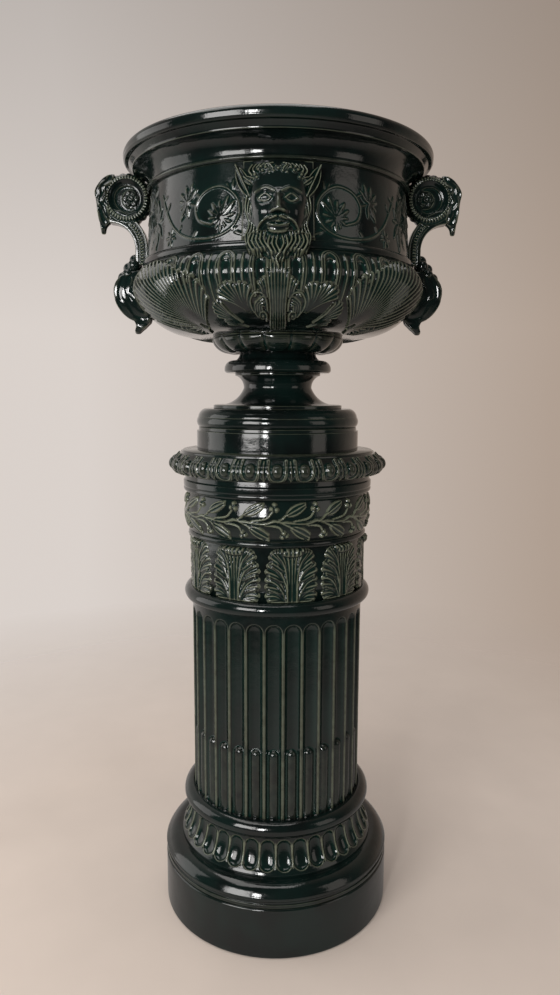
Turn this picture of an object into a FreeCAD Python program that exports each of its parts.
"""Jardiniere on a fluted column stand, in glazed earthenware.

The stand and the jardiniere are two hollow pieces, each luted together from moulded sections
and applied ornament. The stand stays on the floor and the jardiniere lifts straight off it.
Millimetres. +Z is up, the floor is z = 0, the column's axis is x = y = 0, the masks face -Y
and +Y, and the handles stand out along -X and +X.
"""

import FreeCAD
import Part
import math
import os

V = FreeCAD.Vector
UP = V(0, 0, 1)
ORIGIN = V(0, 0, 0)
FRONT = -90.0

# ---------------------------------------------------------------- stand: walls and heights
STAND_WALL = 13.0
CAP_THICKNESS = 13.0

DRUM_HEIGHT = 83.0
BASE_MOULDING_HEIGHT = 34.0
COLLAR_HEIGHT = 56.0
SHAFT_HEIGHT = 377.0
CAPITAL_HEIGHT = 183.0
CAP_HEIGHT = 38.0

# ---------------------------------------------------------------- stand: radii and ornament
DRUM_RADIUS = 190.5
DRUM_EASE = 2.0
BASE_FILLET_INSET = 1.0
BASE_QUIRK_DEPTH = 2.0
BASE_SHOULDER_INSET = 23.0
BORE_INSET = 15.0

COLLAR_FOOT_RADIUS = 163.0
COLLAR_LEDGE = 3.5
COLLAR_FILLET = 5.5
COLLAR_FLUTES = 36
COLLAR_FLUTE_WIDTH = 20.0
COLLAR_FLUTE_DEPTH = 4.0
COLLAR_FLUTE_START = -19.0
COLLAR_FLUTE_SPREAD = 46.0

SHAFT_RADIUS = 141.0
SHAFT_FLUTES = 30
FLUTE_RADIUS = 12.4
FLUTE_DEPTH = 9.0
FLUTE_TURN = -1.7
FLUTE_TOP_GAP = 11.0
CABLE_RADIUS = 9.0
CABLE_INSET = 1.2
CABLE_HEIGHT = 111.0

LOWER_RING_HEIGHT = 28.0
LOWER_RING_REACH = 17.0
UPPER_RING_HEIGHT = 23.0
UPPER_RING_REACH = 13.0

CAPITAL_RADIUS = 140.5
LEAF_COUNT = 10
LEAF_TURN = 9.3
LEAF_HEIGHT = 81.0
LEAF_WIDTH = 76.0
LEAF_THICKNESS = 5.0
LEAF_CURL = 11.0
LEAF_NOTCHES = [(0.24, 0.0), (0.48, 0.26), (0.62, 0.48), (0.66, 0.70), (0.44, 0.90), (0.0, 0.98)]
LEAF_LOBE = 0.42

ASTRAGAL_RISE = 83.0
ASTRAGAL_HEIGHT = 10.0
ASTRAGAL_REACH = 5.5
FRIEZE_HEIGHT = 63.0
FRIEZE_EDGE_REACH = 5.0
FRIEZE_REACH = 10.5
NECK_BAND_REACH = 12.8
NECK_BAND_HEIGHT = 19.0

SPRAY_COUNT = 15
SPRAY_LEAF_LENGTH = 44.0
SPRAY_LEAF_WIDTH = 15.0
SPRAY_RELIEF = 3.0
SPRAY_TILT = 31.0
SPRAY_SPREAD = 13.0
SPRAY_STAGGER = 6.0
BERRY_OFFSET = 24.0
BERRY_RADIUS = 3.4
BERRY_ROOT = 4.0
SPRIG = [(0.0, -2.5), (7.4, -0.5), (3.6, 5.8)]

CAP_FOOT_RADIUS = 159.0
CAP_OVOLO_RADIUS = 171.5
CAP_TOP_RADIUS = 155.3
EGG_COUNT = 27
EGG_RADIUS = 9.5
EGG_SINK = 7.0
EGG_RISE = 16.0
EGG_TILT = 12.0
HOOP_RELIEF = 2.2
DART_RADIUS = 3.2

# ---------------------------------------------------------------- jardiniere: foot and stem
FOOT_WALL = 13.0
FOOT_RADIUS = 131.0
PLINTH_HEIGHT = 31.5
PLINTH_FILLET = 5.0
PLINTH_FILLET_INSET = 3.0
FOOT_TORUS_HEIGHT = 15.5
FOOT_SHOULDER_HEIGHT = 13.5
FOOT_SHOULDER_FLAT = 118.5
NECK_HEIGHT = 56.5
NECK_BASE_RADIUS = 104.0
NECK_RADIUS = 55.0
NECK_TOP_RADIUS = 69.0
STEM_BORE = 40.0
DISC_HEIGHT = 33.0
DISC_RADIUS = 86.0
DISC_LIP_RADIUS = 77.5
STEM_RADIUS = 61.3
GADROON_HEIGHT = 24.0
GADROON_COUNT = 16
GADROON_COLLAR_RADIUS = 112.0
GADROON_BULGE = 17.0
GADROON_ROOT = 5.0

# ---------------------------------------------------------------- jardiniere: bowl
BOWL_WALL = 12.5
BOWL_BASE_HEIGHT = 99.0
BELLY_RISE = 68.0
BELLY_RADIUS = 226.0
BELLY_FLOOR_RADIUS = 141.0
BELLY_TOP_RADIUS = 210.0
WAIST_RING_HEIGHT = 12.0
WAIST_RING_RADIUS = 211.5
WALL_HEIGHT = 102.0
WALL_FOOT_RADIUS = 205.0
WALL_TOP_RADIUS = 197.0
RIM_HEIGHT = 57.0
RIM_BEAD_REACH = 6.0
RIM_BEAD_HEIGHT = 7.0
RIM_STEP_RADIUS = 224.0
RIM_RADIUS = 237.0
RIM_MOUTH_RADIUS = 212.0

TONGUE_COUNT = 30
TONGUE_DEPTH = 4.0
TONGUE_WIDTH = 24.0

# Shells: turn from the mask, hinge across and above the bowl's foot, spread in degrees, rib lengths
FAN_RELIEF = 5.0
FAN_RIB_SHARE = 0.88
FAN_ROOT = 10.0
FAN_SHOULDER = 0.94
FANS = [
    {"turn": 50.0, "across": -33.0, "rise": 7.0, "from": 22.0, "to": 140.0, "ribs": 15,
     "short": 118.0, "long": 66.0},
    {"turn": 16.0, "across": -5.0, "rise": 34.0, "from": 15.0, "to": 95.0, "ribs": 7,
     "short": 40.0, "long": 36.0},
    {"turn": 12.0, "across": -3.0, "rise": 30.0, "from": 102.0, "to": 150.0, "ribs": 4,
     "short": 32.0, "long": 26.0},
    {"turn": 20.0, "across": 0.0, "rise": 22.0, "from": -14.0, "to": 30.0, "ribs": 4,
     "short": 30.0, "long": 30.0},
]
REED_RELIEF = 8.0
REED_TOP = 88.0
REED_FOOT = 20.0
REED_COUNT = 5
REED_PITCH = 5.6
REED_TAPER = 0.6
SCROLL_ACROSS = 21.0
SCROLL_RISE = 27.0
SCROLL_RADIUS = 9.0

# ---------------------------------------------------------------- jardiniere: handles
VOLUTE_REACH = 236.0
VOLUTE_DROP = 60.0
VOLUTE_RADIUS = 39.0
VOLUTE_WIDTH = 30.0
VOLUTE_WEB = 15.0
VOLUTE_DISH_RADIUS = 25.0
VOLUTE_EYE_RADIUS = 19.0
ROSETTE_RADIUS = 14.5
ROSETTE_OFFSET = 6.5
PETAL_COUNT = 6
PETAL_RADIUS = 5.4
PETAL_RELIEF = 3.4
STEM_BEND_REACH = 264.0
STEM_BEND_DROP = 136.0
STEM_BEND_RADIUS = 40.0
STEM_THICKNESS = 20.0
STEM_WIDTH = 24.0
STEM_LEG = 24.0
HANDLE_LEAF_REACH = 284.0
HANDLE_LEAF_TIP_DROP = 112.0
HANDLE_LEAF_WIDTH = 34.0
TERMINAL_REACH = 256.5
TERMINAL_TOP_DROP = 168.0
TERMINAL_LENGTH = 98.0
TERMINAL_WIDTH = 46.0
GRAPE_RADIUS = 9.5
GRAPE_DROP = 152.0

# ---------------------------------------------------------------- jardiniere: masks
MASK_DROP = 84.0
HEAD_HALF_WIDTH = 38.0
HEAD_HALF_HEIGHT = 50.0
HEAD_SINK = 4.0
MASK_PANEL_WIDTH = 100.0
MASK_PANEL_THICKNESS = 6.0
EAR_LENGTH = 34.0
BEARD_LENGTH = 62.0
BEARD_STRANDS = 5
WREATH_BERRIES = 9
WREATH_SPREAD = 144.0
WREATH_BERRY_RADIUS = 8.0

# ---------------------------------------------------------------- levels, from the floor up
Z_MOULDING = DRUM_HEIGHT
Z_COLLAR = Z_MOULDING + BASE_MOULDING_HEIGHT
Z_SHAFT = Z_COLLAR + COLLAR_HEIGHT
Z_CAPITAL = Z_SHAFT + SHAFT_HEIGHT
Z_UPPER_RING = Z_CAPITAL - UPPER_RING_HEIGHT
Z_ASTRAGAL = Z_CAPITAL + ASTRAGAL_RISE
Z_FRIEZE = Z_ASTRAGAL + ASTRAGAL_HEIGHT
Z_NECK_BAND = Z_FRIEZE + FRIEZE_HEIGHT
Z_CAP = Z_CAPITAL + CAPITAL_HEIGHT
Z_SEAT = Z_CAP + CAP_HEIGHT
Z_FOOT_TORUS = Z_SEAT + PLINTH_HEIGHT + PLINTH_FILLET
Z_FOOT_SHOULDER = Z_FOOT_TORUS + FOOT_TORUS_HEIGHT
Z_NECK = Z_FOOT_SHOULDER + FOOT_SHOULDER_HEIGHT
Z_DISC = Z_NECK + NECK_HEIGHT
Z_GADROONS = Z_DISC + DISC_HEIGHT
Z_BOWL = Z_GADROONS + GADROON_HEIGHT
Z_WAIST = Z_BOWL + BOWL_BASE_HEIGHT
Z_WALL = Z_WAIST + WAIST_RING_HEIGHT
Z_RIM = Z_WALL + WALL_HEIGHT
Z_TOP = Z_RIM + RIM_HEIGHT

SHAFT_BORE = SHAFT_RADIUS - FLUTE_DEPTH - STAND_WALL


# ---------------------------------------------------------------- building blocks
def outline(*points):
    """Closed face in the XZ plane. A pair is a corner; four numbers are an arc's middle and end."""
    edges = []
    first = V(points[0][0], 0, points[0][1])
    here = first
    for point in points[1:]:
        there = V(point[-2], 0, point[-1])
        if len(point) == 4:
            middle = V(point[0], 0, point[1])
            edges.append(Part.Arc(here, middle, there).toShape())
        else:
            edges.append(Part.LineSegment(here, there).toShape())
        here = there
    if here.distanceToPoint(first) > 1e-6:
        edges.append(Part.LineSegment(here, first).toShape())
    return Part.Face(Part.Wire(edges))


def turned(*points):
    """Solid of revolution about the column's axis; each point is a radius and a height."""
    return outline(*points).revolve(ORIGIN, UP, 360)


def slab(face, width):
    """An XZ face thickened along Y, half to each side."""
    solid = face.extrude(V(0, width, 0))
    solid.translate(V(0, -width / 2, 0))
    return solid


def rotated(shape, angle, base=ORIGIN, axis=UP):
    """A copy of a shape turned about an axis."""
    copy = shape.copy()
    copy.rotate(base, axis, angle)
    return copy


def around(shape, count, start=FRONT):
    """Copies of a shape spaced evenly about the column, the first one turned to the start angle."""
    return [rotated(shape, start + 360.0 * n / count) for n in range(count)]


def spindle(half_length, half_width):
    """Egg-like solid about +Z: half an ellipse turned about its long axis."""
    curve = Part.Ellipse(V(0, 0, half_length), V(half_width, 0, 0), ORIGIN)
    arc = Part.Arc(curve, 0, math.pi).toShape()
    ends = [vertex.Point for vertex in arc.Vertexes]
    closed = Part.Wire([arc, Part.LineSegment(ends[1], ends[0]).toShape()])
    return Part.Face(closed).revolve(ORIGIN, UP, 360)


def outermost(shape):
    """The solid of a shape that reaches furthest along +X."""
    return max(shape.Solids, key=lambda solid: solid.BoundBox.XMax)


def save(name, *shapes):
    """Write the solids of one sub-part as one STEP file."""
    solids = [solid for shape in shapes for solid in shape.Solids]
    body = solids[0] if len(solids) == 1 else Part.makeCompound(solids)
    body.exportStep("parts/" + name + ".step")


# ---------------------------------------------------------------- stand sections
def base_drum():
    """Plain round drum that rests on the floor."""
    inner = DRUM_RADIUS - STAND_WALL
    return turned(
        (inner, 0),
        (DRUM_RADIUS - DRUM_EASE, 0),
        (DRUM_RADIUS, DRUM_EASE),
        (DRUM_RADIUS, DRUM_HEIGHT - DRUM_EASE),
        (DRUM_RADIUS - DRUM_EASE, DRUM_HEIGHT),
        (inner, DRUM_HEIGHT),
    )


def base_moulding():
    """Fillet, quirk and bold torus above the drum."""
    inner = DRUM_RADIUS - STAND_WALL
    fillet = DRUM_RADIUS - BASE_FILLET_INSET
    quirk = fillet - BASE_QUIRK_DEPTH
    shoulder = DRUM_RADIUS - BASE_SHOULDER_INSET
    bore = COLLAR_FOOT_RADIUS - BORE_INSET
    z = Z_MOULDING
    return turned(
        (inner, z),
        (quirk, z),
        (quirk, z + 2),
        (fillet, z + 2),
        (fillet, z + 7),
        (quirk, z + 7),
        (quirk, z + 11),
        (DRUM_RADIUS, z + 15.5, DRUM_RADIUS - 1.5, z + 20),
        ((DRUM_RADIUS + shoulder) / 2 + 2.0, z + 30, shoulder, Z_COLLAR),
        (bore, Z_COLLAR),
        (bore, z + BASE_MOULDING_HEIGHT * 0.7),
    )


def base_collar():
    """Flaring cavetto between the base torus and the shaft, cut with upright flutes."""
    top = SHAFT_RADIUS + 4.5
    foot = COLLAR_FOOT_RADIUS - 2.0
    low = Z_COLLAR + 2 * COLLAR_LEDGE
    high = Z_SHAFT - COLLAR_FILLET
    bend_x = foot - 0.72 * (foot - top)
    bend_z = low + 0.45 * (high - low)
    bore = COLLAR_FOOT_RADIUS - BORE_INSET
    body = turned(
        (bore, Z_COLLAR),
        (COLLAR_FOOT_RADIUS, Z_COLLAR),
        (COLLAR_FOOT_RADIUS, Z_COLLAR + COLLAR_LEDGE),
        (foot, low),
        (bend_x, bend_z, top, high),
        (top, Z_SHAFT),
        (SHAFT_BORE, Z_SHAFT),
        (SHAFT_BORE, bend_z),
    )
    cavetto = Part.Arc(V(foot, 0, low), V(bend_x, 0, bend_z), V(top, 0, high)).toShape().Curve
    hub = cavetto.Center
    sweep = cavetto.Radius
    half = COLLAR_FLUTE_WIDTH / 2
    tube = (half ** 2 + COLLAR_FLUTE_DEPTH ** 2) / (2 * COLLAR_FLUTE_DEPTH)
    disc_centre = hub + V(-(sweep - tube + COLLAR_FLUTE_DEPTH), 0, 0)
    disc = Part.Face(Part.Wire(Part.makeCircle(tube, disc_centre, UP)))
    bend_axis = V(0, 1, 0)
    start = rotated(disc, COLLAR_FLUTE_START, hub, bend_axis)
    cutter = start.revolve(hub, bend_axis, COLLAR_FLUTE_SPREAD)
    return body.cut(around(cutter, COLLAR_FLUTES))


def fluted_shaft():
    """Hollow shaft with round-topped flutes, filled by convex cables over the lower part."""
    low = Z_SHAFT + LOWER_RING_HEIGHT
    high = Z_CAPITAL - UPPER_RING_HEIGHT - FLUTE_TOP_GAP - FLUTE_RADIUS
    axis_radius = SHAFT_RADIUS - FLUTE_DEPTH + FLUTE_RADIUS
    flute = Part.makeCylinder(FLUTE_RADIUS, high - low, V(axis_radius, 0, low), UP)
    flute = flute.fuse(Part.makeSphere(FLUTE_RADIUS, V(axis_radius, 0, high)))
    cable_radius = SHAFT_RADIUS - CABLE_INSET - CABLE_RADIUS
    cable_top = low + CABLE_HEIGHT - CABLE_RADIUS
    cable = Part.makeCylinder(CABLE_RADIUS, cable_top - low, V(cable_radius, 0, low), UP)
    cable = cable.fuse(Part.makeSphere(CABLE_RADIUS, V(cable_radius, 0, cable_top)))
    groove = flute.cut(cable)
    body = turned(
        (SHAFT_BORE, Z_SHAFT),
        (SHAFT_RADIUS, Z_SHAFT),
        (SHAFT_RADIUS, Z_CAPITAL),
        (SHAFT_BORE, Z_CAPITAL),
    )
    return body.cut(around(groove, SHAFT_FLUTES, FRONT + FLUTE_TURN))


def ring(inner, z, height, reach, flat=0.25):
    """Half-round ring moulding round a drum."""
    lip = inner + reach * flat
    return turned(
        (inner, z),
        (lip, z),
        (inner + reach, z + height / 2, lip, z + height),
        (inner, z + height),
    )


def capital_drum():
    """Plain drum behind the acanthus leaves and the laurel frieze."""
    return turned(
        (SHAFT_BORE, Z_CAPITAL),
        (CAPITAL_RADIUS, Z_CAPITAL),
        (CAPITAL_RADIUS, Z_CAP),
        (SHAFT_BORE, Z_CAP),
    )


def scalloped(notches, bulge):
    """Outline points that run through the notches with a round lobe between each pair."""
    points = [notches[0]]
    for (x0, z0), (x1, z1) in zip(notches, notches[1:]):
        middle = ((x0 + x1) / 2 + bulge * (z1 - z0), (z0 + z1) / 2 - bulge * (x1 - x0))
        points.append(middle + (x1, z1))
    return points


def acanthus_leaf():
    """One upright leaf on the +X side: a lobed outline cut from a turned, curling sheet."""
    low = Z_CAPITAL
    high = low + LEAF_HEIGHT
    face = CAPITAL_RADIUS
    sheet = turned(
        (face, low),
        (face + LEAF_THICKNESS * 0.7, low),
        (face + LEAF_THICKNESS * 0.8, low + LEAF_HEIGHT * 0.6),
        (face + LEAF_CURL * 0.7, high - 16, face + LEAF_CURL, high - 7),
        (face + LEAF_CURL * 0.75, high, face + LEAF_THICKNESS * 0.8, high - 5),
        (face, high - 10),
    )
    half = LEAF_WIDTH / 2
    right = [(half * y, low + LEAF_HEIGHT * z) for y, z in LEAF_NOTCHES]
    left = [(-y, z) for y, z in reversed(right)]
    blade = outline(*scalloped(right + left[1:], LEAF_LOBE)).extrude(V(0, -2 * face, 0))
    blade.rotate(ORIGIN, UP, 90)
    rib = Part.makeCone(3.4, 1.6, LEAF_HEIGHT * 0.84, V(face + LEAF_THICKNESS * 0.75, 0, low), UP)
    return blade.common(sheet).fuse(rib).cut(capital_drum())


def laurel_frieze():
    """Swelling band that carries the laurel spray."""
    z = Z_FRIEZE
    edge = CAPITAL_RADIUS + FRIEZE_EDGE_REACH
    return turned(
        (CAPITAL_RADIUS, z),
        (edge - 1.5, z),
        (edge - 1.5, z + 5),
        (edge, z + 7),
        (CAPITAL_RADIUS + FRIEZE_REACH, z + FRIEZE_HEIGHT * 0.56, edge, z + FRIEZE_HEIGHT),
        (CAPITAL_RADIUS, z + FRIEZE_HEIGHT),
    )


def laurel_spray():
    """Applied laurel: slanting leaves in two rows, with three-berry sprigs between them."""
    frieze = laurel_frieze()
    middle = Z_FRIEZE + FRIEZE_HEIGHT * 0.54
    face = CAPITAL_RADIUS + FRIEZE_REACH
    foot = FRIEZE_HEIGHT * 0.42
    sheet = turned(
        (CAPITAL_RADIUS, middle - foot),
        (face - SPRAY_RELIEF, middle - foot),
        (face + SPRAY_RELIEF, middle, face - SPRAY_RELIEF, middle + foot),
        (CAPITAL_RADIUS, middle + foot),
    ).cut(frieze)
    half = SPRAY_LEAF_LENGTH / 2
    belly = SPRAY_LEAF_WIDTH / 2
    blade = outline((0, -half), (belly, 0, 0, half), (-belly, 0, 0, -half)).extrude(V(0, -2 * face, 0))
    blade.rotate(ORIGIN, UP, 90)
    pattern = []
    for side in (1, -1):
        leaf = rotated(blade, side * SPRAY_TILT - side * 90, ORIGIN, V(1, 0, 0))
        leaf.translate(V(0, 0, middle + side * SPRAY_SPREAD))
        pattern += around(leaf.common(sheet), SPRAY_COUNT, FRONT + side * SPRAY_STAGGER)
        for across, lift in SPRIG:
            spot = V(face - 0.5, BERRY_OFFSET + across, middle + side * (SPRAY_SPREAD + lift))
            outward = V(1, 0, 0)
            berry = Part.makeCone(BERRY_RADIUS, BERRY_RADIUS * 0.5, BERRY_RADIUS, spot, outward)
            root = Part.makeCylinder(BERRY_RADIUS, BERRY_ROOT, spot - outward * BERRY_ROOT, outward)
            berry = berry.fuse(root).cut(frieze)
            pattern += around(berry, SPRAY_COUNT, FRONT + side * SPRAY_STAGGER)
    return pattern


def neck_band():
    """Plain band with a rounded lower edge, under the cap."""
    z = Z_NECK_BAND
    band = CAPITAL_RADIUS + NECK_BAND_REACH
    return turned(
        (CAPITAL_RADIUS, z),
        (band - 5, z),
        (band - 1.2, z + 1.8, band, z + 5),
        (band, z + NECK_BAND_HEIGHT),
        (band - 2.5, z + NECK_BAND_HEIGHT + 2),
        (band - 2.5, Z_CAP),
        (CAPITAL_RADIUS, Z_CAP),
    )


def cap():
    """Closed cap with the swelling moulding that carries the eggs; its top is the seat."""
    return turned(
        (SHAFT_BORE, Z_CAP),
        (CAP_FOOT_RADIUS, Z_CAP),
        (CAP_FOOT_RADIUS, Z_CAP + 3),
        (CAP_OVOLO_RADIUS, Z_CAP + 12, CAP_OVOLO_RADIUS - 5, Z_CAP + 25),
        (CAP_TOP_RADIUS + 3, Z_SEAT - 4),
        (CAP_TOP_RADIUS, Z_SEAT - 4),
        (CAP_TOP_RADIUS, Z_SEAT - 1.5),
        (CAP_TOP_RADIUS - 1.5, Z_SEAT),
        (0, Z_SEAT),
        (0, Z_SEAT - CAP_THICKNESS),
        (SHAFT_BORE, Z_SEAT - CAP_THICKNESS),
    )


def egg_and_dart():
    """Eggs in raised hoops, with a dart between each pair, seated on the cap's moulding."""
    core = cap()
    centre = V(CAP_OVOLO_RADIUS - EGG_SINK, 0, Z_CAP + EGG_RISE)
    lean = V(math.cos(math.radians(EGG_TILT)), 0, math.sin(math.radians(EGG_TILT)))
    egg = Part.makeSphere(EGG_RADIUS, centre)
    hoop = Part.makeCylinder(EGG_RADIUS + 5.5, EGG_SINK + HOOP_RELIEF, centre, lean)
    hoop = hoop.cut(Part.makeCylinder(EGG_RADIUS + 2.5, 2 * EGG_SINK, centre, lean))
    dart = Part.makeCone(DART_RADIUS, 1.0, 2.4 * EGG_RADIUS, V(0, 0, -EGG_RADIUS), V(0, 0, 1))
    dart.rotate(ORIGIN, V(0, 1, 0), -EGG_TILT)
    dart.translate(centre + lean * (EGG_SINK + 0.5))
    dart.rotate(ORIGIN, UP, 180.0 / EGG_COUNT)
    pattern = []
    for piece in (egg, hoop, dart):
        pattern += around(outermost(piece.cut(core)), EGG_COUNT)
    return pattern


# ---------------------------------------------------------------- jardiniere sections
def foot_plinth():
    """Round plinth of the foot; its under edge rests on the cap."""
    inner = FOOT_RADIUS - FOOT_WALL
    top = Z_SEAT + PLINTH_HEIGHT
    return turned(
        (inner, Z_SEAT),
        (FOOT_RADIUS - 1.5, Z_SEAT),
        (FOOT_RADIUS, Z_SEAT + 1.5),
        (FOOT_RADIUS, top),
        (FOOT_RADIUS - PLINTH_FILLET_INSET, top),
        (FOOT_RADIUS - PLINTH_FILLET_INSET, Z_FOOT_TORUS),
        (inner, Z_FOOT_TORUS),
    )


def foot_torus():
    """Half-round bead above the plinth."""
    inner = FOOT_RADIUS - FOOT_WALL
    z = Z_FOOT_TORUS
    return turned(
        (inner, z),
        (FOOT_RADIUS - 4, z),
        (FOOT_RADIUS, z + FOOT_TORUS_HEIGHT / 2, FOOT_RADIUS - 2, Z_FOOT_SHOULDER),
        (inner, Z_FOOT_SHOULDER),
    )


def foot_shoulder():
    """Rounded shoulder from the torus in to the neck, which closes the foot's hollow above."""
    z = Z_FOOT_SHOULDER
    return turned(
        (FOOT_RADIUS - FOOT_WALL, z),
        (FOOT_RADIUS - 2, z),
        (FOOT_RADIUS - 5.5, z + 8.5, FOOT_SHOULDER_FLAT, Z_NECK),
        (NECK_BASE_RADIUS - FOOT_WALL, Z_NECK),
    )


def foot_neck():
    """Deep scotia from the foot up to the narrow neck, and the fillet above it."""
    waist = Z_NECK + NECK_HEIGHT * 0.58
    rise = Z_NECK + 6.5
    lip = NECK_BASE_RADIUS - 4
    hollow = math.sqrt(0.5)
    return turned(
        (NECK_BASE_RADIUS - FOOT_WALL, Z_NECK),
        (NECK_BASE_RADIUS, Z_NECK),
        (NECK_BASE_RADIUS, Z_NECK + 5.5),
        (lip, rise),
        (lip - hollow * (lip - NECK_RADIUS), waist - hollow * (waist - rise), NECK_RADIUS, waist),
        (NECK_RADIUS + 2.5, waist + 10.5, NECK_TOP_RADIUS - 3, Z_DISC - 5),
        (NECK_TOP_RADIUS, Z_DISC - 4),
        (NECK_TOP_RADIUS, Z_DISC),
        (STEM_BORE, Z_DISC),
        (STEM_BORE, waist),
    )


def stem_disc():
    """Knop disc between the neck and the bowl, with a small cyma over it."""
    z = Z_DISC
    return turned(
        (STEM_BORE, z),
        (DISC_RADIUS - 3, z),
        (DISC_RADIUS, z + 3),
        (DISC_RADIUS, z + 6),
        (DISC_RADIUS - 2, z + 13.5, DISC_LIP_RADIUS, z + 19),
        (DISC_LIP_RADIUS - 3.5, z + 19),
        (STEM_RADIUS + 4.5, z + 22, STEM_RADIUS, z + 29),
        (STEM_RADIUS, Z_GADROONS),
        (STEM_BORE, Z_GADROONS),
    )


def gadroon_collar():
    """Spreading collar under the bowl, swelling into gadroons."""
    z = Z_GADROONS
    edge = GADROON_COLLAR_RADIUS
    body = turned(
        (STEM_BORE, z),
        (STEM_RADIUS, z),
        (STEM_RADIUS, z + 2),
        (edge * 0.82, z + 6, edge - 4, Z_BOWL - 3),
        (edge - 4, Z_BOWL),
        (STEM_BORE, Z_BOWL),
    )
    low = V(STEM_RADIUS + GADROON_ROOT, 0, z + GADROON_ROOT + 1)
    high = V(edge - GADROON_BULGE, 0, Z_BOWL - 4)
    run = high - low
    lobe = Part.makeCone(GADROON_ROOT, GADROON_BULGE, run.Length, low, run)
    lobe = lobe.fuse(Part.makeSphere(GADROON_BULGE, high))
    lobes = around(lobe, GADROON_COUNT, FRONT + 180.0 / GADROON_COUNT)
    ceiling = Part.makeCylinder(2 * edge, GADROON_HEIGHT, V(0, 0, Z_BOWL), UP)
    floor = Part.makeCylinder(2 * edge, GADROON_HEIGHT, V(0, 0, z - GADROON_HEIGHT), UP)
    return body.fuse(lobes).cut([ceiling, floor])


def belly_curve():
    """Radius halfway up the shoulder, and the point that shapes the elliptical belly below."""
    shoulder = 0.5 * (BELLY_RADIUS + BELLY_TOP_RADIUS) + 4.0
    lean = math.radians(25)
    start = math.acos(BELLY_FLOOR_RADIUS / BELLY_RADIUS)
    depth = BELLY_RISE / math.sin(start)
    fall = BELLY_RISE - depth * math.sin(lean)
    return shoulder, V(BELLY_RADIUS * math.cos(lean), 0, Z_BOWL + fall)


def bowl_base_body():
    """Closed round bottom of the bowl, before its ornament."""
    belly = Z_BOWL + BELLY_RISE
    shoulder, bulge = belly_curve()
    w = BOWL_WALL
    return turned(
        (0, Z_BOWL),
        (BELLY_FLOOR_RADIUS, Z_BOWL),
        (bulge.x, bulge.z, BELLY_RADIUS, belly),
        (shoulder, (belly + Z_WAIST) / 2, BELLY_TOP_RADIUS, Z_WAIST),
        (BELLY_TOP_RADIUS - w, Z_WAIST),
        (shoulder - w, (belly + Z_WAIST) / 2, BELLY_RADIUS - w, belly),
        (bulge.x - w, bulge.z + w / 2, BELLY_FLOOR_RADIUS - w, Z_BOWL + w),
        (0, Z_BOWL + w),
    )


def bowl_base():
    """Bottom of the bowl, with a ring of upright tongues pressed into its shoulder."""
    body = bowl_base_body()
    half = TONGUE_WIDTH / 2
    tube = (half ** 2 + TONGUE_DEPTH ** 2) / (2 * TONGUE_DEPTH)
    crown = V(BELLY_RADIUS + tube - TONGUE_DEPTH - 6, 0, Z_WAIST - TONGUE_WIDTH / 2 - 3)
    foot = V(BELLY_RADIUS + tube - TONGUE_DEPTH, 0, Z_BOWL + BELLY_RISE - 8)
    scoop = Part.makeCylinder(tube, crown.distanceToPoint(foot), foot, crown - foot)
    scoop = scoop.fuse(Part.makeSphere(tube, crown))
    return body.cut(around(scoop, TONGUE_COUNT, FRONT + 180.0 / TONGUE_COUNT))


def belly_sheet(relief):
    """Thin skin over the belly that gives applied ornament its outer face and its seat."""
    belly = Z_BOWL + BELLY_RISE
    shoulder, bulge = belly_curve()
    skin = turned(
        (BELLY_FLOOR_RADIUS - relief, Z_BOWL),
        (BELLY_FLOOR_RADIUS + relief, Z_BOWL),
        (bulge.x + relief, bulge.z - relief / 2, BELLY_RADIUS + relief, belly),
        (shoulder + relief, (belly + Z_WAIST) / 2, BELLY_TOP_RADIUS + relief, Z_WAIST),
        (BELLY_TOP_RADIUS - 1, Z_WAIST),
        (BELLY_TOP_RADIUS - 1, belly),
    )
    return skin.cut(bowl_base_body())


def blade(*points):
    """Upright outline, given as distances across and heights, thickened towards +X."""
    block = outline(*points).extrude(V(0, -2 * BELLY_RADIUS, 0))
    block.rotate(ORIGIN, UP, 90)
    return block


def fan_ribs(fan):
    """Ribs of one shell, spread from its hinge; each is a wedge with a rounded end."""
    ribs = []
    step = (fan["to"] - fan["from"]) / fan["ribs"]
    for n in range(fan["ribs"]):
        middle = fan["from"] + step * (n + 0.5)
        reach = fan["short"] + (fan["long"] - fan["short"]) * (n + 0.5) / fan["ribs"]
        corners = []
        half = FAN_RIB_SHARE * step / 2
        spots = [(middle, FAN_ROOT), (middle - half, FAN_SHOULDER * reach), (middle, reach),
                 (middle + half, FAN_SHOULDER * reach)]
        for angle, distance in spots:
            turn = math.radians(angle)
            across = fan["across"] + distance * math.cos(turn)
            corners.append((across, Z_BOWL + fan["rise"] + distance * math.sin(turn)))
        ribs.append(blade(corners[0], corners[1], corners[2] + corners[3]))
    return ribs


def shell_fans():
    """Fluted shells on the belly, in mirrored pairs at the front and at the back."""
    sheet = belly_sheet(FAN_RELIEF)
    pattern = []
    for fan in FANS:
        for rib in fan_ribs(fan):
            for side in (1, -1):
                seated = rib if side > 0 else rib.mirror(ORIGIN, V(0, 1, 0))
                piece = outermost(seated.common(sheet))
                pattern += around(piece, 2, FRONT + side * fan["turn"])
    return pattern


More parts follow.
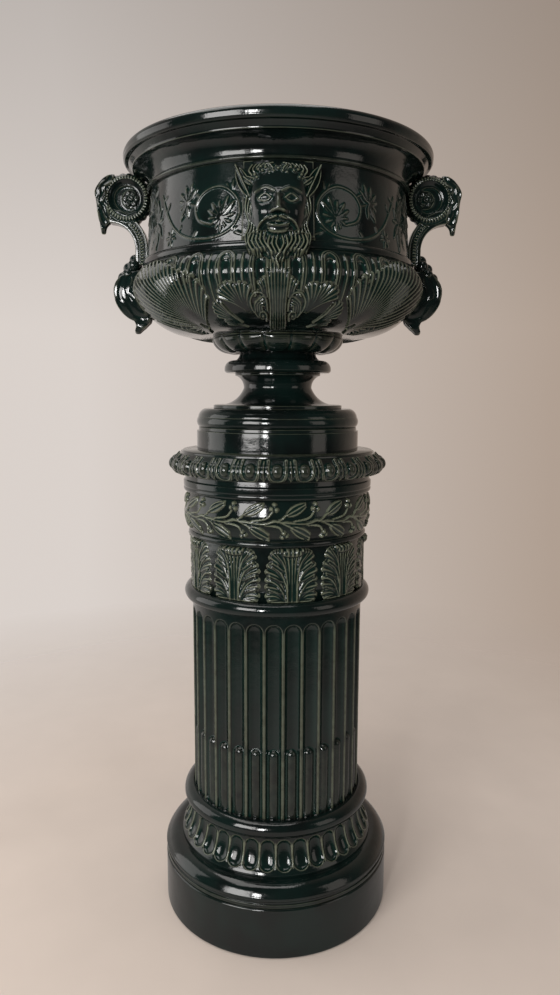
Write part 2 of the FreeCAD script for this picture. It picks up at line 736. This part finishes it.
def reeded_tongue():
    """Reeded tongue under each mask, between two small scrolls."""
    sheet = belly_sheet(REED_RELIEF)
    top = Z_BOWL + REED_TOP
    low = Z_BOWL + REED_FOOT
    pieces = []
    for n in range(REED_COUNT):
        offset = n - (REED_COUNT - 1) / 2
        near = offset * REED_PITCH
        half = REED_PITCH * 0.43
        crown = top - 3.0 * abs(offset)
        pieces.append(blade(
            ((near - half) * REED_TAPER, low),
            ((near + half) * REED_TAPER, low),
            (near + half, crown),
            (near, crown + half, near - half, crown),
        ))
    pieces = [piece.common(sheet) for piece in pieces]
    for side in (1, -1):
        eye = V(BELLY_FLOOR_RADIUS, side * SCROLL_ACROSS, Z_BOWL + SCROLL_RISE)
        hoop = Part.makeCylinder(SCROLL_RADIUS, BELLY_RADIUS, eye, V(1, 0, 0))
        hoop = hoop.cut(Part.makeCylinder(SCROLL_RADIUS - 3.5, BELLY_RADIUS, eye, V(1, 0, 0)))
        pieces.append(hoop.common(sheet))
    return [copy for piece in pieces for copy in around(outermost(piece), 2)]


def waist_ring():
    """Round ring between the bowl's bottom and its upright wall."""
    inner = BELLY_TOP_RADIUS - BOWL_WALL
    flat = WAIST_RING_RADIUS - 3.5
    return turned(
        (inner, Z_WAIST),
        (flat, Z_WAIST),
        (WAIST_RING_RADIUS, Z_WAIST + WAIST_RING_HEIGHT / 2, flat, Z_WALL),
        (inner, Z_WALL),
    )


def bowl_wall():
    """Upright frieze wall of the bowl, leaning in slightly to its top."""
    return turned(
        (WALL_FOOT_RADIUS - BOWL_WALL, Z_WALL),
        (WALL_FOOT_RADIUS, Z_WALL),
        (WALL_TOP_RADIUS, Z_RIM),
        (WALL_TOP_RADIUS - BOWL_WALL, Z_RIM),
    )


def bowl_rim():
    """Bead, hollow throat, step and rolled lip."""
    z = Z_RIM
    bead = WALL_TOP_RADIUS + RIM_BEAD_REACH
    throat = WALL_TOP_RADIUS + 3
    inner = WALL_TOP_RADIUS - BOWL_WALL
    bead_top = z + RIM_BEAD_HEIGHT
    lip = RIM_RADIUS
    return turned(
        (inner, z),
        (bead - 2, z),
        (bead, z + 2.2, bead - 1.5, z + 5),
        (throat, bead_top),
        (throat, bead_top + 2),
        (throat + 6.5, z + 23, RIM_STEP_RADIUS, z + 31),
        (RIM_STEP_RADIUS, z + 33),
        (RIM_STEP_RADIUS + 5.7, z + 40),
        (lip - 2.5, z + 40),
        (lip, z + 43, lip, z + 46),
        (lip - 1.5, z + 54, lip - 9, Z_TOP),
        (RIM_MOUTH_RADIUS + 5, Z_TOP),
        (RIM_MOUTH_RADIUS, z + 54.5, RIM_MOUTH_RADIUS - 1, z + 49),
        (inner + 9, z + 14, inner, z + 2),
    )


def bowl_shell():
    """The sections that handles and masks are luted to."""
    return [bowl_base_body(), waist_ring(), bowl_wall(), bowl_rim()]


# ---------------------------------------------------------------- handles, on the +X side
def volute_centre():
    return V(VOLUTE_REACH, 0, Z_TOP - VOLUTE_DROP)


def handle_scroll():
    """Volute with a moulded rim and pierced eye, and the ribbon stem that runs down to the wall."""
    centre = volute_centre()
    across = V(0, 1, 0)
    half = VOLUTE_WIDTH / 2
    web = VOLUTE_WEB / 2
    dish = VOLUTE_DISH_RADIUS
    edge = VOLUTE_RADIUS
    profile = outline(
        (0, -web),
        (dish - 3, -web),
        (dish, -web - 3),
        (dish + 2, -half + 2),
        (dish + 5, -half, dish + 8, -half + 2),
        (dish + 9, -half + 4),
        (edge, 0, dish + 9, half - 4),
        (dish + 8, half - 2),
        (dish + 5, half, dish + 2, half - 2),
        (dish, web + 3),
        (dish - 3, web),
        (0, web),
    )
    volute = profile.revolve(ORIGIN, UP, 360)
    volute.rotate(ORIGIN, V(1, 0, 0), 90)
    volute.translate(centre)
    back = V(0, half, 0)
    eye = Part.makeCylinder(VOLUTE_EYE_RADIUS, VOLUTE_WIDTH, centre - back, across)
    boss_centre = centre - back - V(ROSETTE_OFFSET, 0, 0)
    eye = eye.cut(Part.makeCylinder(ROSETTE_RADIUS, VOLUTE_WIDTH, boss_centre, across))
    bend = V(STEM_BEND_REACH, 0, Z_TOP - STEM_BEND_DROP)
    near = STEM_BEND_RADIUS
    far = STEM_BEND_RADIUS + STEM_THICKNESS
    diagonal = math.sqrt(0.5)
    ribbon = outline(
        (bend.x, bend.z + near),
        (bend.x, bend.z + far),
        (bend.x - far * diagonal, bend.z + far * diagonal, bend.x - far, bend.z),
        (bend.x - far, bend.z - STEM_LEG),
        (bend.x - near, bend.z - STEM_LEG),
        (bend.x - near, bend.z),
        (bend.x - near * diagonal, bend.z + near * diagonal, bend.x, bend.z + near),
    )
    stem = slab(ribbon, STEM_WIDTH)
    return volute.fuse(stem).cut([eye] + bowl_shell())


def rosette(face_sign):
    """Six-petalled rosette on one face of the volute's eye."""
    outward = V(0, face_sign, 0)
    centre = volute_centre() + V(-ROSETTE_OFFSET, 0, 0) + outward * (VOLUTE_WEB / 2)
    arm = ROSETTE_RADIUS - PETAL_RADIUS - 0.5
    petals = []
    for n in range(PETAL_COUNT):
        angle = 2 * math.pi * n / PETAL_COUNT
        root = centre + V(arm * math.cos(angle), 0, arm * math.sin(angle))
        petals.append(Part.makeCone(PETAL_RADIUS, PETAL_RADIUS * 0.55, PETAL_RELIEF, root, outward))
    heart = Part.makeCone(PETAL_RADIUS, PETAL_RADIUS * 0.6, PETAL_RELIEF * 1.6, centre, outward)
    return heart.fuse(petals)


def handle_leaf(scroll):
    """Leaf that clasps the outer side of the volute and ends in a free pointed tip."""
    centre = volute_centre()
    tip = Z_TOP - HANDLE_LEAF_TIP_DROP
    reach = HANDLE_LEAF_REACH
    side = outline(
        (centre.x + 18, centre.z + 36),
        (reach - 6, centre.z + 24, reach, centre.z + 2),
        (reach - 3, tip + 26, reach - 6, tip + 4),
        (reach - 9, tip, reach - 12, tip + 4),
        (reach - 15, tip + 12, reach - 22, tip + 18),
        (reach - 24, centre.z - 14),
        (reach - 19, centre.z + 8, centre.x + 18, centre.z + 24),
    )
    half = HANDLE_LEAF_WIDTH / 2
    front = outline(
        (-half * 0.55, centre.z + 42),
        (half * 0.55, centre.z + 42),
        (half, centre.z + 8, half * 0.62, tip + 22),
        (3.5, tip + 4),
        (0, tip, -3.5, tip + 4),
        (-half * 0.62, tip + 22),
        (-half, centre.z + 8, -half * 0.55, centre.z + 42),
    )
    block = front.extrude(V(0, -2 * reach, 0))
    block.rotate(ORIGIN, UP, 90)
    return slab(side, 2 * half).common(block).cut(scroll)


def terminal_leaf():
    """Curled leaf at the handle's lower end, lying on the bowl's round bottom."""
    top = Z_TOP - TERMINAL_TOP_DROP
    low = top - TERMINAL_LENGTH
    reach = TERMINAL_REACH
    side = outline(
        (BELLY_TOP_RADIUS, top),
        (reach - 34, top),
        (reach - 5, top - 14, reach, top - 42),
        (reach - 8, top - 64, reach - 27, top - 77),
        (reach - 30, top - 84, reach - 28, top - 91),
        (reach - 31, low, reach - 37, low + 2),
        (reach - 53, top - 81),
        (BELLY_TOP_RADIUS - 12, top - 50),
    )
    half = TERMINAL_WIDTH / 2
    front = outline(
        (-half * 0.6, top),
        (half * 0.6, top),
        (half, top - 40, half * 0.55, top - 72),
        (half * 0.42, top - 88),
        (0, low, -half * 0.42, top - 88),
        (-half * 0.55, top - 72),
        (-half, top - 40, -half * 0.6, top),
    )
    block = front.extrude(V(0, -2 * reach, 0))
    block.rotate(ORIGIN, UP, 90)
    return outermost(slab(side, 2 * half).common(block).cut(bowl_shell()))


def grape_cluster(scroll, terminal):
    """Bunch of grapes where the ribbon stem meets the lower leaf."""
    top = Z_TOP - GRAPE_DROP
    near = VOLUTE_REACH
    rows = [(-10, 0, 0), (0, 0, -12.5), (9, 0, -27), (-9, 9.5, -9), (-9, -9.5, -9),
            (0, 10, -23), (0, -10, -23), (-13, 0, -17), (-6, 0, -29)]
    grapes = [Part.makeSphere(GRAPE_RADIUS, V(near + x, y, top + z)) for x, y, z in rows]
    bunch = grapes[0].fuse(grapes[1:])
    return bunch.cut([scroll, terminal] + bowl_shell())


# ---------------------------------------------------------------- masks, on the +X side
def mask():
    """Bearded head in high relief on a plain panel, with pricked ears and a wreath of berries."""
    face = WALL_FOOT_RADIUS - 5.0
    eye_level = Z_TOP - MASK_DROP
    panel = turned(
        (face - 8, Z_WALL + 1),
        (WALL_FOOT_RADIUS + MASK_PANEL_THICKNESS, Z_WALL + 1),
        (WALL_TOP_RADIUS + MASK_PANEL_THICKNESS, Z_RIM - 0.5),
        (face - 8, Z_RIM - 0.5),
    ).common(Part.makeBox(260, MASK_PANEL_WIDTH, 260, V(0, -MASK_PANEL_WIDTH / 2, Z_WAIST)))
    head = spindle(HEAD_HALF_HEIGHT, HEAD_HALF_WIDTH)
    head.translate(V(face + HEAD_SINK, 0, eye_level))
    front = face + HEAD_SINK + HEAD_HALF_WIDTH
    nose = Part.makeCone(3.0, 6.5, 22, V(front - 3.0, 0, eye_level + 4), V(0.12, 0, -1))
    brow = Part.makeCylinder(4.5, 44, V(front - 8.5, -22, eye_level + 11), V(0, 1, 0))
    pieces = [head, nose, brow]
    for side in (1, -1):
        ear_base = V(face + 10, side * (HEAD_HALF_WIDTH - 8), eye_level + 14)
        pieces.append(Part.makeCone(9.5, 1.5, EAR_LENGTH, ear_base, V(0.1, side * 0.75, 1)))
        pieces.append(Part.makeCone(12, 3.0, 58, V(face + 14, side * 29, eye_level - 10),
                                    V(-0.05, 0.04 * side, -1)))
    for n in range(BEARD_STRANDS):
        offset = n - (BEARD_STRANDS - 1) / 2
        start = V(front - 22, offset * 11, eye_level - 32)
        length = BEARD_LENGTH - 7.0 * abs(offset)
        pieces.append(Part.makeCone(10.5, 2.2, length, start, V(-0.12, offset * 0.03, -1)))
    for n in range(WREATH_BERRIES):
        angle = math.radians(WREATH_SPREAD * (n / (WREATH_BERRIES - 1) - 0.5))
        spot = V(face + 12, (HEAD_HALF_WIDTH - 4) * math.sin(angle),
                 eye_level + 18 + (HEAD_HALF_HEIGHT - 24) * math.cos(angle))
        pieces.append(Part.makeSphere(WREATH_BERRY_RADIUS, spot))
    below = Part.makeCylinder(2 * BELLY_RADIUS, BOWL_BASE_HEIGHT, V(0, 0, Z_BOWL), UP)
    whole = panel.fuse(pieces).cut([below, waist_ring(), bowl_wall(), bowl_rim()])
    return max(whole.Solids, key=lambda solid: solid.Volume)


# ---------------------------------------------------------------- the assembly
def mirrored(shape):
    """The -X handle piece from the +X one."""
    return shape.mirror(ORIGIN, V(1, 0, 0))


os.makedirs("parts", exist_ok=True)

save("base_drum", base_drum())
save("base_moulding", base_moulding())
save("base_collar", base_collar())
save("lower_ring", ring(SHAFT_RADIUS, Z_SHAFT, LOWER_RING_HEIGHT, LOWER_RING_REACH))
save("fluted_shaft", fluted_shaft())
save("upper_ring", ring(SHAFT_RADIUS, Z_UPPER_RING, UPPER_RING_HEIGHT, UPPER_RING_REACH))
save("capital_drum", capital_drum())
save("acanthus_leaves", *around(acanthus_leaf(), LEAF_COUNT, FRONT + LEAF_TURN))
save("astragal", ring(CAPITAL_RADIUS, Z_ASTRAGAL, ASTRAGAL_HEIGHT, ASTRAGAL_REACH))
save("laurel_frieze", laurel_frieze())
save("laurel_spray", *laurel_spray())
save("neck_band", neck_band())
save("cap", cap())
save("egg_and_dart", *egg_and_dart())

save("foot_plinth", foot_plinth())
save("foot_torus", foot_torus())
save("foot_shoulder", foot_shoulder())
save("foot_neck", foot_neck())
save("stem_disc", stem_disc())
save("gadroon_collar", gadroon_collar())
save("bowl_base", bowl_base())
save("shell_fans", *shell_fans())
save("reeded_tongues", *reeded_tongue())
save("waist_ring", waist_ring())
save("bowl_wall", bowl_wall())
save("bowl_rim", bowl_rim())

scroll = handle_scroll()
clasp = handle_leaf(scroll)
terminal = terminal_leaf()
grapes = grape_cluster(scroll, terminal)
flowers = Part.makeCompound([rosette(1), rosette(-1)])
for node, shape in (("handle_scroll", scroll), ("handle_leaf", clasp), ("handle_terminal", terminal),
                    ("handle_grapes", grapes), ("handle_rosettes", flowers)):
    save(node + "_right", shape)
    save(node + "_left", mirrored(shape))

head = mask()
save("mask_front", rotated(head, FRONT))
save("mask_back", rotated(head, -FRONT))
